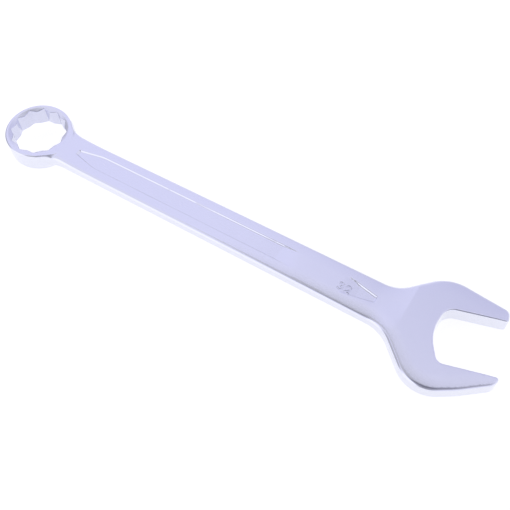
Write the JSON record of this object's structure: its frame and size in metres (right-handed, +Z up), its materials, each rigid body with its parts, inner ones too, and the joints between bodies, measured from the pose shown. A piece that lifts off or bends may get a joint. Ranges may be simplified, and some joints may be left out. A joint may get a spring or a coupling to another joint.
{
  "type": "combination wrench",
  "caption": "Forged combination wrench with an angled open jaw at one end and a tilted twelve-point ring at the other, for turning hexagon nuts and bolts.",
  "frame": {"origin": "middle of the wrench's footprint, level with the flat underside of the head and the lower lip of the ring", "axes": "+X along the shank from the ring to the open jaw, +Y to the side the jaw turns towards, +Z up through the thickness, towards the side the ring's free end rises to"},
  "size_m": [0.3454, 0.066, 0.0193],
  "materials": {
    "satin_chrome": "satin"
  },
  "bodies": {
    "root": {"wrench_forging": "satin_chrome"}
  },
  "joints": []
}
